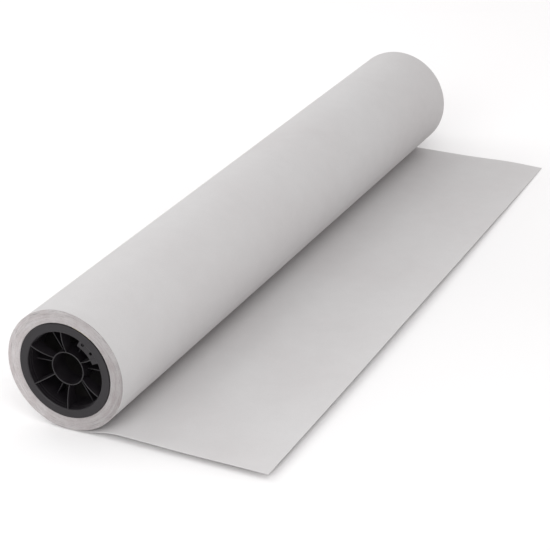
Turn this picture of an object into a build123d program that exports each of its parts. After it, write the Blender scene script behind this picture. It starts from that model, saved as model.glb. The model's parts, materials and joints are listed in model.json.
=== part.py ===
"""Backdrop paper roll lying on a floor, with its first turn run out flat beside it.

Millimetres, +Z up, +Y along the roll. The origin is on the floor, under the middle
of the whole footprint. The loose paper leaves the bottom of the roll towards +X.
"""

import math
import os

from build123d import *

# Paper
paper_width = 914.4
roll_radius = 70.6
sheet_thickness = 0.2
sheet_gap = 0.1
roll_gap = 0.3
sheet_reach_near = 238.0
sheet_reach_far = 222.0
web_reach = 214.0

# Cardboard core and the tape that holds the paper's inner end to it
core_bore_radius = 50.8
core_wall = 4.7
core_chamfer = 0.4
tape_thickness = 0.3
tape_width = 24.0
tape_angle = 115.0

# End plugs, one moulding each; depths run inwards from the flange's outer face
flange_radius = 54.9
flange_thickness = 1.5
flange_edge_round = 0.5
opening_radius = 45.2
opening_lip_round = 1.8
rim_depth = 3.5
sleeve_length = 30.0
sleeve_clearance = 0.05
sleeve_lead_in = 1.2
outer_wall = 2.15
inner_wall_outside = 46.9
inner_step = 0.4
inner_step_depths = (4.5, 8.0)

hub_bore_radius = 18.25
hub_wall = 1.4
hub_recess = 7.0
hub_rim_round = 0.4

rib_count = 6
rib_level = 16.0
rib_overlap = 0.4
front_rib_angle = 28.0
front_rib_width = 1.2
front_rib_round = 0.35
front_rib_start = 0.3
front_rib_bow_radius = 33.0
front_rib_bow_depth = 1.8

rear_rib_width = 1.2
rear_rib_round = 0.3

tab_depth = 1.2
tab_thickness = 1.5
tab_inner_radius = 38.0
tab_middle_angle = 136.5
tab_half_angle = 19.5
tab_hole_radius = 1.8
tab_hole_circle = 43.3
tab_hole_angles = (123.5, 140.0)

# Places worked out from the sizes above
core_radius = core_bore_radius + core_wall
tape_radius = core_radius + tape_thickness
paper_inner_radius = tape_radius
axis_x = -(sheet_reach_near - roll_radius) / 2
web_height = sheet_thickness + sheet_gap
axis_z = web_height + sheet_thickness + roll_gap + roll_radius
half_width = paper_width / 2
sleeve_radius = core_bore_radius - sleeve_clearance
hub_radius = hub_bore_radius + hub_wall
hub_length = sleeve_length - hub_recess
rib_step = 360 / rib_count
rear_rib_angle = front_rib_angle + rib_step / 2
rib_root_radius = hub_radius - rib_overlap
rib_wall_radius = opening_radius + rib_overlap
lip_radius = opening_radius + opening_lip_round

near_end = Plane(origin=(axis_x, -half_width, axis_z), x_dir=(-1, 0, 0), z_dir=(0, 1, 0))
near_face = near_end.offset(-flange_thickness)
far_face = Plane(
    origin=(axis_x, half_width + flange_thickness, axis_z),
    x_dir=(1, 0, 0),
    z_dir=(0, -1, 0),
)


def keep(part, name):
    """Label a finished piece and write it under its own name."""
    part.label = name
    export_step(part, f"parts/{name}.step")


def turned(face, angle):
    """The same plane, with its x direction turned by the angle about its own normal."""
    turn = math.radians(angle)
    outwards = face.x_dir * math.cos(turn) + face.y_dir * math.sin(turn)
    return Plane(origin=face.origin, x_dir=outwards, z_dir=face.z_dir)


def radial_plane(face, angle):
    """A plane through the axis: x runs outwards at the angle, y inwards along the roll."""
    outwards = turned(face, angle).x_dir
    return Plane(origin=face.origin, x_dir=outwards, z_dir=outwards.cross(face.z_dir))


def front_rib(face, angle):
    """A rib drawn from the front: it bows out from the hub to the flange, and its edge is round."""
    with BuildPart() as rib:
        with BuildSketch(radial_plane(face, angle)):
            with BuildLine():
                ThreePointArc(
                    (lip_radius, front_rib_start),
                    (front_rib_bow_radius, front_rib_bow_depth),
                    (rib_root_radius, hub_recess + rib_overlap),
                )
                Polyline(
                    (rib_root_radius, hub_recess + rib_overlap),
                    (rib_root_radius, rib_level),
                    (rib_wall_radius, rib_level),
                    (rib_wall_radius, opening_lip_round),
                    (lip_radius, opening_lip_round),
                    (lip_radius, front_rib_start),
                )
            make_face()
        extrude(amount=front_rib_width / 2, both=True)
        fillet(rib.edges().filter_by(GeomType.CIRCLE), front_rib_round)
    return rib


def rear_rib(face, angle):
    """A rib drawn from behind, between the hub and the inner wall, with round front edges."""
    with BuildPart() as rib:
        with BuildSketch(radial_plane(face, angle)):
            with BuildLine():
                Polyline(
                    (rib_root_radius, rib_level),
                    (rib_wall_radius, rib_level),
                    (rib_wall_radius, sleeve_length),
                    (rib_root_radius, sleeve_length),
                    close=True,
                )
            make_face()
        extrude(amount=rear_rib_width / 2, both=True)
        front_edges = rib.edges().group_by(Axis(face.origin, face.z_dir))[0]
        fillet(front_edges.group_by(SortBy.LENGTH)[-1], rear_rib_round)
    return rib


def rim_profile():
    """Half section of the flange and its two-walled sleeve: (radius, depth, corner rounding)."""
    first_step, second_step = inner_step_depths
    outer_wall_inside = sleeve_radius - outer_wall
    return [
        (opening_radius, 0, opening_lip_round),
        (flange_radius, 0, flange_edge_round),
        (flange_radius, flange_thickness, 0),
        (sleeve_radius, flange_thickness, 0),
        (sleeve_radius, sleeve_length - sleeve_lead_in, 0),
        (sleeve_radius - sleeve_lead_in, sleeve_length, 0),
        (outer_wall_inside, sleeve_length, 0),
        (outer_wall_inside, rim_depth, 0),
        (inner_wall_outside, rim_depth, 0),
        (inner_wall_outside, sleeve_length, 0),
        (opening_radius - 2 * inner_step, sleeve_length, 0),
        (opening_radius - 2 * inner_step, second_step, 0),
        (opening_radius - inner_step, second_step, 0),
        (opening_radius - inner_step, first_step, 0),
        (opening_radius, first_step, 0),
    ]


def make_plug(face):
    """One moulded end plug; face is the flange's outer face, with +z into the core."""
    ribs = []
    for index in range(rib_count):
        ribs.append(front_rib(face, front_rib_angle + index * rib_step))
        ribs.append(rear_rib(face, rear_rib_angle + index * rib_step))

    with BuildPart() as plug:
        # Flange and sleeve
        with BuildSketch(radial_plane(face, 0)):
            with BuildLine():
                outline = [(radius, depth) for radius, depth, _ in rim_profile()]
                rounding = [corner for _, _, corner in rim_profile()]
                FilletPolyline(*outline, radius=rounding, close=True)
            make_face()
        revolve(axis=Axis(face.origin, face.z_dir))

        # Tab inside the flange, with its two small holes
        half = math.radians(tab_half_angle)
        reach = flange_radius / math.cos(half)
        with BuildSketch(turned(face, tab_middle_angle).offset(tab_depth)):
            with BuildLine():
                Polyline(
                    (0, 0),
                    (reach * math.cos(half), -reach * math.sin(half)),
                    (reach * math.cos(half), reach * math.sin(half)),
                    close=True,
                )
            make_face()
            Circle(lip_radius, mode=Mode.INTERSECT)
            Circle(tab_inner_radius, mode=Mode.SUBTRACT)
            for hole_angle in tab_hole_angles:
                with PolarLocations(tab_hole_circle, 1, hole_angle - tab_middle_angle):
                    Circle(tab_hole_radius, mode=Mode.SUBTRACT)
        extrude(amount=tab_thickness)

        # Two stars of ribs, one behind the other
        for rib in ribs:
            add(rib.part)

        # Hub tube for the crossbar
        with BuildSketch(radial_plane(face, 0)):
            with Locations((hub_bore_radius + hub_wall / 2, hub_recess + hub_length / 2)):
                RectangleRounded(hub_wall, hub_length, hub_rim_round)
        revolve(axis=Axis(face.origin, face.z_dir))
    return plug


os.makedirs("parts", exist_ok=True)

with BuildPart() as wound_paper:
    with BuildSketch(near_end):
        Circle(roll_radius)
        Circle(paper_inner_radius, mode=Mode.SUBTRACT)
    extrude(amount=paper_width)
keep(wound_paper.part, "wound_paper")

with BuildPart() as core_tube:
    with BuildSketch(near_end):
        Circle(core_radius)
        Circle(core_bore_radius, mode=Mode.SUBTRACT)
    extrude(amount=paper_width)
    bore_edges = core_tube.edges().filter_by(GeomType.CIRCLE).group_by(SortBy.RADIUS)[0]
    chamfer(bore_edges, core_chamfer)
keep(core_tube.part, "core_tube")

with BuildPart() as core_tape:
    tape_half = math.degrees(tape_width / 2 / core_radius)
    with BuildSketch(near_end):
        with BuildLine():
            inner = CenterArc((0, 0), core_radius, tape_angle - tape_half, 2 * tape_half)
            outer = CenterArc((0, 0), tape_radius, tape_angle - tape_half, 2 * tape_half)
            Line(inner @ 0, outer @ 0)
            Line(inner @ 1, outer @ 1)
        make_face()
    extrude(amount=paper_width)
keep(core_tape.part, "core_tape")

with BuildPart() as loose_sheet:
    with BuildSketch(Plane.XY):
        with BuildLine():
            Polyline(
                (axis_x, -half_width),
                (axis_x + sheet_reach_near, -half_width),
                (axis_x + sheet_reach_far, half_width),
                (axis_x, half_width),
                close=True,
            )
        make_face()
    extrude(amount=sheet_thickness)
keep(loose_sheet.part, "loose_sheet")

with BuildPart() as unrolling_sheet:
    with BuildSketch(Plane.XY.offset(web_height)):
        with Locations((axis_x, 0)):
            Rectangle(web_reach, paper_width, align=(Align.MIN, Align.CENTER))
    extrude(amount=sheet_thickness)
keep(unrolling_sheet.part, "unrolling_sheet")

near_plug = make_plug(near_face)
keep(near_plug.part, "near_plug")

far_plug = make_plug(far_face)
keep(far_plug.part, "far_plug")
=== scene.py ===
"""Looks for the backdrop paper roll: a fine spiral of paper, its loose sheet and the end plugs."""
import json
import math

import bpy
import numpy as np
from mathutils import Matrix, Vector


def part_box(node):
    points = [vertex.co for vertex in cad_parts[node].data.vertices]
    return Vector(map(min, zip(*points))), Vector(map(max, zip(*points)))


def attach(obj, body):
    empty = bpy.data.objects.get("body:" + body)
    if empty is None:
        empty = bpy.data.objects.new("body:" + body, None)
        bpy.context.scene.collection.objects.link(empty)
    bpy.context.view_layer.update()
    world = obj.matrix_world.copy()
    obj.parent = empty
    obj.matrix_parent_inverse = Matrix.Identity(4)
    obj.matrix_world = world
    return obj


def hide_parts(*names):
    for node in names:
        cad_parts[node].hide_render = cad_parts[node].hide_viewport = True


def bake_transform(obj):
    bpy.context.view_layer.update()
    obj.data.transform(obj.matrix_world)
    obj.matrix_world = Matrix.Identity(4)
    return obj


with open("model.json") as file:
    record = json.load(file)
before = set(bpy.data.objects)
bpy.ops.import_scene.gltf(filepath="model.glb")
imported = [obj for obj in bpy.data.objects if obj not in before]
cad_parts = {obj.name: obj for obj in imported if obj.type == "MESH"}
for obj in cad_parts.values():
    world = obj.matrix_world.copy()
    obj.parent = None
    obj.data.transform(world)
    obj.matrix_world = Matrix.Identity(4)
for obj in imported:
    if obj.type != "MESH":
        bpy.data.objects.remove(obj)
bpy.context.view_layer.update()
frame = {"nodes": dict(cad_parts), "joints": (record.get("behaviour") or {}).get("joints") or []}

MM = 0.001


# ---------------------------------------------------------------- places from the frame

ROLL_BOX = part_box("wound_paper")
CORE_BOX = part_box("core_tube")
SHEET_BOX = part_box("loose_sheet")
SPIN = next(joint for joint in frame["joints"] if joint["name"] == "roll_spin")
AXIS_X, _, AXIS_Z = SPIN["pos_m"]
ROLL_RADIUS = (ROLL_BOX[1][0] - ROLL_BOX[0][0]) / 2
CORE_RADIUS = (CORE_BOX[1][0] - CORE_BOX[0][0]) / 2
NEAR_Y = ROLL_BOX[0][1]
FAR_Y = ROLL_BOX[1][1]
PAPER_WIDTH = FAR_Y - NEAR_Y
SHEET_REACH = SHEET_BOX[1][0] - AXIS_X


# ---------------------------------------------------------------- repeatable wander

def wander(count, seed, smooth=1):
    """Random values from -1 to 1, the same for the same seed; smooth is the run averaged."""
    rough = np.random.default_rng(seed).uniform(-1, 1, count + 2 * smooth)
    kernel = np.hanning(2 * smooth + 1)[1:] if smooth > 1 else np.ones(1)
    soft = np.convolve(rough, kernel / kernel.sum(), mode="same")[smooth : smooth + count]
    return soft / max(abs(soft).max(), 1e-9)


# ---------------------------------------------------------------- shader nodes

# The mix node's sockets for colours: its amount and two colours in, and its colour out
MIX_AMOUNT = 0
MIX_FIRST = 6
MIX_SECOND = 7
MIX_COLOUR = 2


def new_material(name):
    """A node material: (material, its node tree, its shader, its object coordinates)."""
    material = bpy.data.materials.new(name)
    material.use_nodes = True
    tree = material.node_tree
    own = tree.nodes.new("ShaderNodeTexCoord").outputs["Object"]
    return material, tree, tree.nodes["Principled BSDF"], own


def texture(tree, where, kind="ShaderNodeTexNoise", **settings):
    """The value of a 3-D procedural texture at the coordinates, which are in metres."""
    node = tree.nodes.new(kind)
    for key, value in settings.items():
        node.inputs[key].default_value = value
    tree.links.new(where, node.inputs["Vector"])
    return node.outputs["Fac"]


def ramp(tree, source, stops):
    """A colour ramp over a 0 to 1 value; stops are (place, colour)."""
    node = tree.nodes.new("ShaderNodeValToRGB")
    elements = node.color_ramp.elements
    while len(elements) < len(stops):
        elements.new(0.5)
    for element, (place, colour) in zip(elements, stops):
        element.position = place
        element.color = (*colour, 1)
    tree.links.new(source, node.inputs["Fac"])
    return node.outputs["Color"]


def map_range(tree, value, start, end, low=0.0, high=1.0):
    """The value mapped from start..end to low..high, and held at the ends."""
    node = tree.nodes.new("ShaderNodeMapRange")
    tree.links.new(value, node.inputs["Value"])
    node.inputs["From Min"].default_value = start
    node.inputs["From Max"].default_value = end
    node.inputs["To Min"].default_value = low
    node.inputs["To Max"].default_value = high
    return node.outputs["Result"]


def multiply(tree, first, second, amount=1.0):
    """Two colours multiplied together, by a fixed amount or by a value from another node."""
    node = tree.nodes.new("ShaderNodeMix")
    node.data_type = "RGBA"
    node.blend_type = "MULTIPLY"
    if isinstance(amount, float):
        node.inputs[MIX_AMOUNT].default_value = amount
    else:
        tree.links.new(amount, node.inputs[MIX_AMOUNT])
    tree.links.new(first, node.inputs[MIX_FIRST])
    tree.links.new(second, node.inputs[MIX_SECOND])
    return node.outputs[MIX_COLOUR]


def bump(tree, height, strength, distance, normal=None):
    """A normal bumped by a height value, on top of another normal if one is given."""
    node = tree.nodes.new("ShaderNodeBump")
    node.inputs["Strength"].default_value = strength
    node.inputs["Distance"].default_value = distance
    tree.links.new(height, node.inputs["Height"])
    if normal is not None:
        tree.links.new(normal, node.inputs["Normal"])
    return node.outputs["Normal"]


def vector_maths(tree, operation, *values):
    """A vector maths node; each value is a socket or a plain vector."""
    node = tree.nodes.new("ShaderNodeVectorMath")
    node.operation = operation
    for socket, value in zip(node.inputs, values):
        if isinstance(value, tuple):
            socket.default_value = value
        else:
            tree.links.new(value, socket)
    return node


def component(tree, vector, axis):
    """One coordinate of a vector: X, Y or Z."""
    node = tree.nodes.new("ShaderNodeSeparateXYZ")
    tree.links.new(vector, node.inputs["Vector"])
    return node.outputs[axis]


def grey(level, warmth=0.0):
    """A near-neutral colour; warmth adds red and takes a little green and blue away."""
    return (level * (1 + warmth), level * (1 - warmth / 2), level * (1 - warmth / 2))


# ---------------------------------------------------------------- materials

PAPER_LEVEL = 0.567
# The loose sheet's copy of the paper is lighter than the roll's outside: painted light on the sheet
PAPER_SHEET_LIT_LEVEL = 0.595
PAPER_WARMTH = 0.018
PAPER_MOTTLE = 0.02
PAPER_TINT_DRIFT = 0.004

# Cut edges: darker than the paper's face, with painted shade across the end face: lighter towards
# -X and darker towards +X, the side where the sheet lies.
# A smaller stretch makes longer strokes, and the strokes are fainter towards the core.
CUT_EDGE_SHARE = 0.86
PAINTED_SIDE_SHADE = 0.20
STROKE_STRETCH = 0.0028
STROKES_AT_CORE = 0.35


def paper_material(name, level):
    """Uncoated light grey paper: cloudy fibre formation, fine tooth, very soft sheen."""
    material, tree, shader, own = new_material(name)
    cloud = texture(tree, own, Scale=55, Detail=4, Roughness=0.55)
    fibre = texture(tree, own, Scale=900, Detail=5, Roughness=0.7)
    broad = texture(tree, own, Scale=7, Detail=2, Roughness=0.5)
    base = ramp(tree, broad,
                [(0.3, grey(level * (1 - PAPER_MOTTLE), PAPER_WARMTH + PAPER_TINT_DRIFT)),
                 (0.7, grey(level * (1 + PAPER_MOTTLE), PAPER_WARMTH - PAPER_TINT_DRIFT))])
    clouds = ramp(tree, cloud, [(0.3, grey(0.975)), (0.7, grey(1.0))])
    fibres = ramp(tree, fibre, [(0.25, grey(0.94)), (0.6, grey(1.0))])
    colour = multiply(tree, multiply(tree, base, clouds), fibres)
    tree.links.new(colour, shader.inputs["Base Color"])
    rough = ramp(tree, fibre, [(0.2, grey(0.86)), (0.8, grey(0.96))])
    tree.links.new(rough, shader.inputs["Roughness"])
    shader.inputs["Specular IOR Level"].default_value = 0.22
    tooth = bump(tree, fibre, strength=0.35, distance=0.06 * MM)
    waves = bump(tree, cloud, strength=0.25, distance=0.4 * MM, normal=tooth)
    tree.links.new(waves, shader.inputs["Normal"])
    return material


def ring_coordinates(tree, own):
    """The end face's seamless stroke coordinates, the vector from the axis, and the radius."""
    to_axis = (-AXIS_X, 0, -AXIS_Z)
    apart = vector_maths(tree, "MULTIPLY_ADD", own, (1, 0, 1), to_axis).outputs["Vector"]
    length = vector_maths(tree, "LENGTH", apart).outputs["Value"]
    unit = vector_maths(tree, "NORMALIZE", apart).outputs["Vector"]
    radius = tree.nodes.new("ShaderNodeCombineXYZ")
    tree.links.new(length, radius.inputs["Y"])
    stretch = (STROKE_STRETCH, 0, STROKE_STRETCH)
    strokes = vector_maths(tree, "MULTIPLY_ADD", unit, stretch, radius.outputs["Vector"])
    return strokes.outputs["Vector"], apart, length


def paper_edge_material():
    """The roll's end faces: cut layer edges with broken strokes of partly painted shade and
    highlight, handled, uneven tone, and painted shade across the face.
    """
    material, tree, shader, own = new_material("paper_layer_edges")
    rings, apart, radius = ring_coordinates(tree, own)
    fine = texture(tree, rings, Scale=1900, Detail=2, Roughness=0.6)
    wide = texture(tree, rings, Scale=500, Detail=1, Roughness=0.5)
    handled = texture(tree, own, Scale=75, Detail=3, Roughness=0.55)
    dust = texture(tree, own, Scale=420, Detail=4, Roughness=0.7)
    level = PAPER_LEVEL * CUT_EDGE_SHARE
    base = ramp(tree, wide,
                [(0.33, grey(level * 0.93, 0.046)), (0.5, grey(level, 0.034)),
                 (0.68, grey(level * 1.06, 0.026))])
    # The strokes are partly the cut edges' own uneven tone and partly painted shade and painted
    # highlight: dark and light lines where layers step in and out of the end face
    strokes = ramp(tree, fine,
                   [(0.34, grey(0.55)), (0.43, grey(0.96)), (0.62, grey(1.0)), (0.75, grey(1.08))])
    tone = ramp(tree, handled,
                [(0.3, grey(0.88, 0.024)), (0.55, grey(0.98, 0.006)), (0.75, grey(1.03))])
    specks = ramp(tree, dust, [(0.3, grey(0.90)), (0.55, grey(1.0))])
    # Painted shade: the end face is lighter towards -X and darker towards +X, as if light falls
    # across it from the -X side
    painted_side_shade = ramp(tree, map_range(tree, component(tree, apart, "X"), -ROLL_RADIUS, ROLL_RADIUS),
                [(0.0, grey(1.0 + PAINTED_SIDE_SHADE / 2)), (1.0, grey(1.0 - PAINTED_SIDE_SHADE))])
    outwards = map_range(tree, radius, CORE_RADIUS, ROLL_RADIUS, STROKES_AT_CORE, 1.0)
    colour = multiply(tree, multiply(tree, base, strokes, outwards), specks)
    colour = multiply(tree, multiply(tree, colour, tone), painted_side_shade)
    tree.links.new(colour, shader.inputs["Base Color"])
    shader.inputs["Roughness"].default_value = 0.93
    shader.inputs["Specular IOR Level"].default_value = 0.15
    fuzz = bump(tree, dust, strength=0.4, distance=0.1 * MM)
    layers = bump(tree, fine, strength=0.5, distance=0.15 * MM, normal=fuzz)
    tree.links.new(layers, shader.inputs["Normal"])
    return material


def plastic_material():
    """Black moulded plastic with a fine grain and a soft, slightly uneven gloss."""
    material, tree, shader, own = new_material("moulded_plug_plastic")
    grain = texture(tree, own, Scale=1500, Detail=3, Roughness=0.6)
    scuff = texture(tree, own, Scale=110, Detail=5, Roughness=0.65)
    base = ramp(tree, scuff,
                [(0.35, (0.0060, 0.0040, 0.0062)), (0.62, (0.0090, 0.0070, 0.0092)),
                 (0.8, (0.018, 0.016, 0.018))])
    tree.links.new(base, shader.inputs["Base Color"])
    rough = ramp(tree, scuff, [(0.3, grey(0.46)), (0.75, grey(0.62))])
    tree.links.new(rough, shader.inputs["Roughness"])
    shader.inputs["Specular IOR Level"].default_value = 0.5
    fine = bump(tree, grain, strength=0.25, distance=0.05 * MM)
    uneven = bump(tree, scuff, strength=0.15, distance=0.2 * MM, normal=fine)
    tree.links.new(uneven, shader.inputs["Normal"])
    return material


def card_material():
    """Tube board coloured very dark grey-brown, which also darkens the core's hollow and the gap by
    the flange: plies and fibre flecks.
    """
    material, tree, shader, own = new_material("core_card")
    plies = texture(tree, own, "ShaderNodeTexWave", Scale=9, Distortion=0.6, Detail=2)
    flecks = texture(tree, own, Scale=650, Detail=5, Roughness=0.75)
    base = ramp(tree, plies,
                [(0.0, (0.018, 0.015, 0.015)), (0.06, (0.030, 0.026, 0.025)),
                 (1.0, (0.034, 0.029, 0.028))])
    spots = ramp(tree, flecks, [(0.3, grey(0.78)), (0.6, grey(1.0))])
    tree.links.new(multiply(tree, base, spots), shader.inputs["Base Color"])
    shader.inputs["Roughness"].default_value = 0.9
    tree.links.new(bump(tree, flecks, strength=0.4, distance=0.2 * MM), shader.inputs["Normal"])
    return material


def tape_material():
    """Creped masking tape."""
    material, tree, shader, own = new_material("masking_tape")
    crepe = texture(tree, own, Scale=800, Detail=3, Distortion=1.5)
    base = ramp(tree, crepe, [(0.3, (0.55, 0.46, 0.28)), (0.7, (0.68, 0.58, 0.38))])
    tree.links.new(base, shader.inputs["Base Color"])
    shader.inputs["Roughness"].default_value = 0.75
    tree.links.new(bump(tree, crepe, strength=0.6, distance=0.2 * MM), shader.inputs["Normal"])
    return material


# ---------------------------------------------------------------- meshes

def mesh_object(name, verts, faces, materials, smooth=True, face_slots=None):
    """A new object from vertices and faces, with a material for each face."""
    mesh = bpy.data.meshes.new(name)
    mesh.from_pydata([tuple(map(float, vert)) for vert in verts], [],
                     [tuple(map(int, face)) for face in faces])
    mesh.update()
    for material in materials:
        mesh.materials.append(material)
    mesh.polygons.foreach_set("use_smooth", [smooth] * len(faces))
    if face_slots is not None:
        mesh.polygons.foreach_set("material_index", face_slots)
    obj = bpy.data.objects.new(name, mesh)
    bpy.context.scene.collection.objects.link(obj)
    return obj


def quads(*corners):
    """Four-sided faces from four arrays of vertex numbers."""
    return list(np.stack(corners, axis=1))


# ---------------------------------------------------------------- the wound paper

LAYER = 0.2 * MM
TAPE_THICKNESS = 0.3 * MM
SEGMENTS = 240
SIDE_BANDS = 48
RIM_BAND = 0.4 * MM

# One layer's cut edge: a groove beside it, and its two sides at these shares of its thickness
LAYER_GROOVE = 0.12 * MM
LAYER_EDGE = 0.12

# How far the layers wander in and out of the end face, in runs of layers, singly and round a turn
RUN_WANDER = 0.10 * MM
LAYER_WANDER = 0.05 * MM
TURN_WANDER = 0.05 * MM
SKIN_SWELL = 0.06 * MM

NEAR_SEED = 11
FAR_SEED = 23
SKIN_SEED = 5

FACE_SLOT = 0
EDGE_SLOT = 1

# Layers that have slipped in or out of the end face: how many layers in from the outside,
# the middle and half-width of the arc in degrees, the band's width in layers and the slip in mm
SLIPPED_BANDS = (
    (19, 95, 50, 2.0, 0.75),
    (9, 350, 60, 1.4, -0.60),
    (14, 335, 65, 1.6, 0.65),
    (6, 40, 45, 1.2, -0.45),
    (23, 205, 55, 2.2, 0.45),
    (30, 255, 45, 2.0, -0.35),
    (12, 165, 40, 1.4, 0.40),
    (44, 60, 60, 3.0, -0.30),
    (52, 180, 80, 3.0, 0.25),
)


def spiral_columns(inner, outer):
    """Angle and outer radius of the paper at each step, from its free end at the bottom inwards."""
    steps = int(round((outer - inner) / LAYER)) * SEGMENTS
    step = np.arange(steps + 1)
    angle = -math.pi / 2 - 2 * math.pi * step / SEGMENTS
    radius = outer - LAYER * step / SEGMENTS
    return angle, radius


def end_offsets(angle, seed):
    """How far each bit of each layer's edge stands out of the end face, in metres."""
    place = np.arange(len(angle)) / SEGMENTS
    turns = int(place[-1]) + 2
    runs = RUN_WANDER * wander(turns, seed, smooth=3)
    level = runs + LAYER_WANDER * wander(turns, seed + 1)
    offset = np.interp(place, np.arange(turns), level)
    for layers_in, middle, half_width, band, slip in SLIPPED_BANDS:
        apart = (np.degrees(angle) - middle + 180) % 360 - 180
        along = np.cos(np.pi / 2 * np.clip(apart / half_width, -1, 1)) ** 2
        offset += slip * MM * along * np.exp(-((place - layers_in) / band) ** 2)
    return offset + TURN_WANDER * wander(len(angle), seed + 3, smooth=SEGMENTS // 6)


def end_face(angle, radius, y, out, seed):
    """Vertices of one end of the spiral: for each step a groove, then the cut edge's two sides."""
    offset = end_offsets(angle, seed)
    rows = []
    for share, sunk in ((0.0, LAYER_GROOVE), (LAYER_EDGE, 0.0), (1 - LAYER_EDGE, 0.0)):
        r = radius - LAYER + share * LAYER
        rows.append(np.stack([
            AXIS_X + r * np.cos(angle),
            y + out * (offset - sunk),
            AXIS_Z + r * np.sin(angle),
        ], axis=1))
    return np.concatenate(rows)


def wound_paper(paper, edges):
    """The roll: a true spiral of layers at both ends, and its outer and inner skins."""
    angle, radius = spiral_columns(CORE_RADIUS + TAPE_THICKNESS, ROLL_RADIUS)
    count = len(angle)
    verts = []
    faces = []
    slots = []
    starts = []

    def add_faces(new, slot):
        """Keep these faces, all with the material in one slot."""
        faces.extend(new)
        slots.extend([slot] * len(new))

    # Both ends: the groove, the cut edge, and the step from each layer to the next one in
    for y, out, seed in ((NEAR_Y, -1, NEAR_SEED), (FAR_Y, 1, FAR_SEED)):
        starts.append(len(verts))
        groove = len(verts) + np.arange(count)
        low = groove + count
        high = low + count
        verts.extend(end_face(angle, radius, y, out, seed))
        outer = np.arange(count - 1 - SEGMENTS)
        inner = outer + SEGMENTS
        for a, b, c, d in ((groove[:-1], groove[1:], low[:-1], low[1:]),
                           (low[:-1], low[1:], high[:-1], high[1:]),
                           (high[inner], high[inner + 1], groove[outer], groove[outer + 1])):
            add_faces(quads(a, c, d, b) if out < 0 else quads(a, b, d, c), EDGE_SLOT)

    # Outer skin: one turn, from the near end to the far end, crisp at both rims
    turn = np.arange(SEGMENTS + 1)
    near_rim, far_rim = (start + 2 * count + turn for start in starts)
    inside = np.linspace(NEAR_Y + RIM_BAND, FAR_Y - RIM_BAND, SIDE_BANDS)
    rings = [near_rim]
    for y, swell in zip(inside, SKIN_SWELL * wander(SIDE_BANDS, SKIN_SEED, smooth=5)):
        rings.append(len(verts) + turn)
        r = radius[turn] + swell
        verts.extend(zip(AXIS_X + r * np.cos(angle[turn]), np.full(len(turn), y),
                         AXIS_Z + r * np.sin(angle[turn])))
    rings.append(far_rim)
    for before, after in zip(rings, rings[1:]):
        add_faces(quads(before[:-1], before[1:], after[1:], after[:-1]), FACE_SLOT)

    # Inner skin, against the core
    near_last, far_last = (start + count - 1 - SEGMENTS + turn for start in starts)
    add_faces(quads(near_last[:-1], far_last[:-1], far_last[1:], near_last[1:]), FACE_SLOT)
    return mesh_object("wound_paper_roll", verts, faces, [paper, edges], True, slots)


# ---------------------------------------------------------------- the loose sheet

SHEET_ACROSS = 110
SHEET_ALONG = 90
COLUMN_CROWDING = 1.6
FLOOR_CLEARANCE = 0.1 * MM

# The free edge runs slightly askew: its reach at the far end over its reach at the near end
FAR_REACH_SHARE = 222.0 / 238.0

# The sheet comes down from the roll's underside over this share of its reach
TOUCH_DOWN = 0.08

# The near end stands off the floor, most beside the roll, and has a slight ripple
NEAR_LIFT = 9.0 * MM
NEAR_LIFT_EDGE = 6.8 * MM
NEAR_LIFT_GROWTH = 0.27
NEAR_LIFT_FADE = 1.15
RIPPLE = 0.35 * MM
RIPPLES_ACROSS = 1.3
RIPPLES_ALONG = 2.1

# The free edge curls up between its corners, and bows outwards as it does
FREE_EDGE_CURL = 4.5 * MM
FREE_EDGE_BOW = 0.72
CURL_SKEW = 0.9
CURL_START = 0.5
CURL_SHARPNESS = 1.5

# The far end arches a little near its outer corner
FAR_EDGE_ARCH = 1.8 * MM
ARCH_PLACE = 0.78
ARCH_WIDTH = 0.18
ARCH_FADE = 4


def smooth_step(value):
    """0 below 0, 1 above 1, and a smooth ease between."""
    clipped = np.clip(value, 0, 1)
    return clipped * clipped * (3 - 2 * clipped)


def edge_curl(along):
    """How much the free edge curls up; along is 0 at the near end to 1 at the far end."""
    return FREE_EDGE_CURL * np.sin(math.pi * along ** CURL_SKEW)


def sheet_height(across, along, out):
    """Height of the sheet's underside; across is 0 at the roll to 1 at its free edge, along is
    0 at the near end to 1 at the far end, and out is the distance from under the roll's axis."""
    start = AXIS_Z - ROLL_RADIUS
    base = start + (FLOOR_CLEARANCE - start) * smooth_step(across / TOUCH_DOWN)
    lift = (NEAR_LIFT + (NEAR_LIFT_EDGE - NEAR_LIFT) * across) * (1 - along) ** NEAR_LIFT_FADE
    waves = np.sin(2 * math.pi * (across * RIPPLES_ACROSS + along * RIPPLES_ALONG))
    near_end = (lift + RIPPLE * waves * (1 - along)) * smooth_step(across / NEAR_LIFT_GROWTH)
    bend = smooth_step((across - CURL_START) / (1 - CURL_START)) ** CURL_SHARPNESS
    arch = FAR_EDGE_ARCH * np.exp(-((across - ARCH_PLACE) / ARCH_WIDTH) ** 2) * along ** ARCH_FADE
    height = base + np.maximum(near_end + edge_curl(along) * bend + arch, 0)
    under_roll = np.sqrt(np.maximum(ROLL_RADIUS ** 2 - out ** 2, 0))
    return np.minimum(height, AXIS_Z - under_roll - LAYER)


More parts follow.
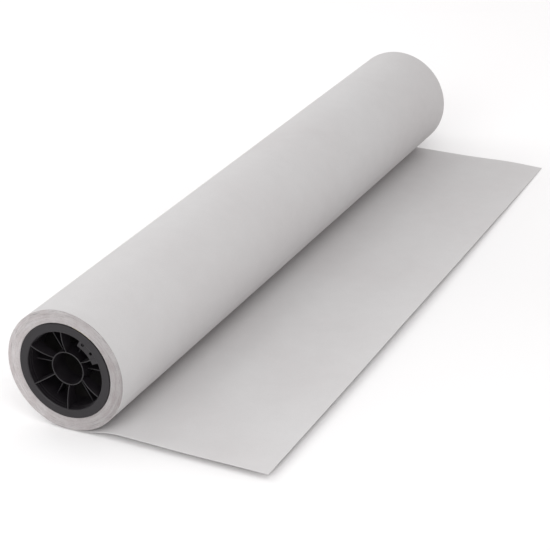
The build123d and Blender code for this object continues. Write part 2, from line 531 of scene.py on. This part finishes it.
def loose_sheet(paper):
    """One sheet from the roll's bottom out to its free edge, laid on the floor."""
    rim_across = RIM_BAND / SHEET_REACH
    rim_along = RIM_BAND / PAPER_WIDTH
    spaced = np.linspace(0, 1, SHEET_ACROSS) ** COLUMN_CROWDING
    u = np.append(spaced * (1 - rim_across), 1)
    v = np.concatenate([[0], np.linspace(rim_along, 1 - rim_along, SHEET_ALONG - 1), [1]])
    across, along = np.meshgrid(u, v, indexing="ij")
    reach = SHEET_REACH * (1 + (FAR_REACH_SHARE - 1) * along) + FREE_EDGE_BOW * edge_curl(along)
    x = AXIS_X + reach * across
    y = NEAR_Y + PAPER_WIDTH * along
    z = sheet_height(across, along, reach * across)
    low = np.stack([x, y, z], axis=2).reshape(-1, 3)
    verts = np.concatenate([low, low + np.array([0, 0, LAYER])])

    # Underside, top side, and the rim between them
    index = np.arange(len(low)).reshape(across.shape)
    a = index[:-1, :-1].ravel()
    b = index[1:, :-1].ravel()
    c = index[1:, 1:].ravel()
    d = index[:-1, 1:].ravel()
    top = len(low)
    rim = np.concatenate([index[:-1, 0], index[-1, :-1], index[:0:-1, -1], index[0, :0:-1]])
    rim_next = np.roll(rim, -1)
    faces = (quads(a, d, c, b) + quads(a + top, b + top, c + top, d + top)
             + quads(rim, rim_next, rim_next + top, rim + top))
    return mesh_object("loose_paper_sheet", verts, faces, [paper])


# ---------------------------------------------------------------- camera

# The viewpoint, in roll radii from the near end of the roll's axis, and its angles in degrees
EYE_ACROSS = 13.333
EYE_BACK = 19.978
EYE_UP = 13.0075
CAMERA_YAW = -26.207
CAMERA_PITCH = 25.674
CAMERA_ROLL = -0.40
FOCAL_LENGTH = 119.1
SENSOR = 36.0
CLIP_END = 100


def camera():
    """The camera at the viewpoint, turned by its yaw, pitch and roll."""
    data = bpy.data.cameras.new("view")
    data.lens = FOCAL_LENGTH
    data.sensor_width = SENSOR
    data.clip_end = CLIP_END
    cam = bpy.data.objects.new("view", data)
    bpy.context.scene.collection.objects.link(cam)
    yaw, pitch, roll = (math.radians(a) for a in (CAMERA_YAW, CAMERA_PITCH, CAMERA_ROLL))
    ahead = Vector((math.sin(yaw) * math.cos(pitch), math.cos(yaw) * math.cos(pitch),
                    -math.sin(pitch)))
    right = ahead.cross(Vector((0, 0, 1))).normalized()
    up = right.cross(ahead)
    side = right * math.cos(roll) + up * math.sin(roll)
    top = up * math.cos(roll) - right * math.sin(roll)
    turn = Matrix((side, top, -ahead)).transposed().to_4x4()
    place = Vector((AXIS_X + EYE_ACROSS * ROLL_RADIUS, NEAR_Y - EYE_BACK * ROLL_RADIUS,
                    AXIS_Z + EYE_UP * ROLL_RADIUS))
    cam.matrix_world = Matrix.Translation(place) @ turn
    bpy.context.scene.camera = cam


# ---------------------------------------------------------------- stage and light

FLOOR_HALF = 12.0
FLOOR_LEVEL = 0.885
FLOOR_FAR_LEVEL = 0.965
FLOOR_FADE = (0.1, 0.6)
FLOOR_WARMTH = 0.01

WORLD_STRENGTH = 0.60
WORLD_TINT = (1.012, 0.995, 0.995, 1)

LIGHT_DISTANCE = 3.0
LIGHT_SIZE = 2.0
LIGHT_AIM = (0, 0, 0.05)
LIGHT_TINT = (0.976, 1.0, 1.004)

# Softboxes round the roll: azimuth from +X towards +Y, elevation, power in watts
SOFTBOXES = {
    "back_low": (90, 25, 7.0),
    "left_low": (180, 25, 26.0),
    "left_high": (180, 55, 12.8),
    "front_low": (270, 25, 30.0),
    "front_right_low": (315, 25, 10.0),
    "front_right_high": (315, 55, 19.0),
}


def floor():
    """A plain white floor, a little lighter behind the roll, where less light falls on it."""
    material, tree, shader, own = new_material("studio_floor")
    behind = map_range(tree, component(tree, own, "Y"), *FLOOR_FADE)
    colour = ramp(tree, behind, [(0.0, grey(FLOOR_LEVEL, FLOOR_WARMTH)),
                                 (1.0, grey(FLOOR_FAR_LEVEL, FLOOR_WARMTH))])
    tree.links.new(colour, shader.inputs["Base Color"])
    shader.inputs["Roughness"].default_value = 0.9
    shader.inputs["Specular IOR Level"].default_value = 0.1
    half = FLOOR_HALF
    corners = [(-half, -half, 0), (half, -half, 0), (half, half, 0), (-half, half, 0)]
    obj = mesh_object("studio_floor", corners, [(0, 1, 2, 3)], [material], False)


def area_light(name, place, power):
    """A square soft light aimed at the middle of the part."""
    data = bpy.data.lights.new(name, "AREA")
    data.shape = "SQUARE"
    data.size = LIGHT_SIZE
    data.energy = power
    data.color = LIGHT_TINT
    lamp = bpy.data.objects.new(name, data)
    bpy.context.scene.collection.objects.link(lamp)
    direction = Vector(LIGHT_AIM) - Vector(place)
    lamp.matrix_world = (Matrix.Translation(Vector(place))
                         @ direction.to_track_quat("-Z", "Y").to_matrix().to_4x4())


def lights():
    """Even studio light: a pale room and large softboxes, strongest from the front and left."""
    world = bpy.data.worlds.new("studio")
    world.use_nodes = True
    world.node_tree.nodes["Background"].inputs["Color"].default_value = WORLD_TINT
    world.node_tree.nodes["Background"].inputs["Strength"].default_value = WORLD_STRENGTH
    bpy.context.scene.world = world
    for name, (azimuth, elevation, power) in SOFTBOXES.items():
        turn, tilt = math.radians(azimuth), math.radians(elevation)
        place = (LIGHT_DISTANCE * math.cos(turn) * math.cos(tilt),
                 LIGHT_DISTANCE * math.sin(turn) * math.cos(tilt),
                 LIGHT_DISTANCE * math.sin(tilt))
        area_light(name, place, power)


def colour_handling():
    """Plain colours, so that the white floor and the pale paper keep their levels."""
    view = bpy.context.scene.view_settings
    view.view_transform = "Standard"
    view.look = "None"
    view.exposure = 0.0


# ---------------------------------------------------------------- assembly

PAPER = paper_material("backdrop_paper_outside", PAPER_LEVEL)
# A lighter copy of the same paper for the loose sheet, with painted light
PAPER_SHEET_LIT = paper_material("backdrop_paper_sheet_lit", PAPER_SHEET_LIT_LEVEL)
EDGES = paper_edge_material()
PLASTIC = plastic_material()
CARD = card_material()
TAPE = tape_material()

roll = wound_paper(PAPER, EDGES)
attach(roll, "roll")
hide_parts("wound_paper")

sheet = loose_sheet(PAPER_SHEET_LIT)
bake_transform(sheet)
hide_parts("loose_sheet", "unrolling_sheet")

for node, material in (("core_tube", CARD), ("core_tape", TAPE),
                       ("near_plug", PLASTIC), ("far_plug", PLASTIC)):
    mesh = frame["nodes"][node].data
    mesh.materials.clear()
    mesh.materials.append(material)

camera()
floor()
lights()
colour_handling()
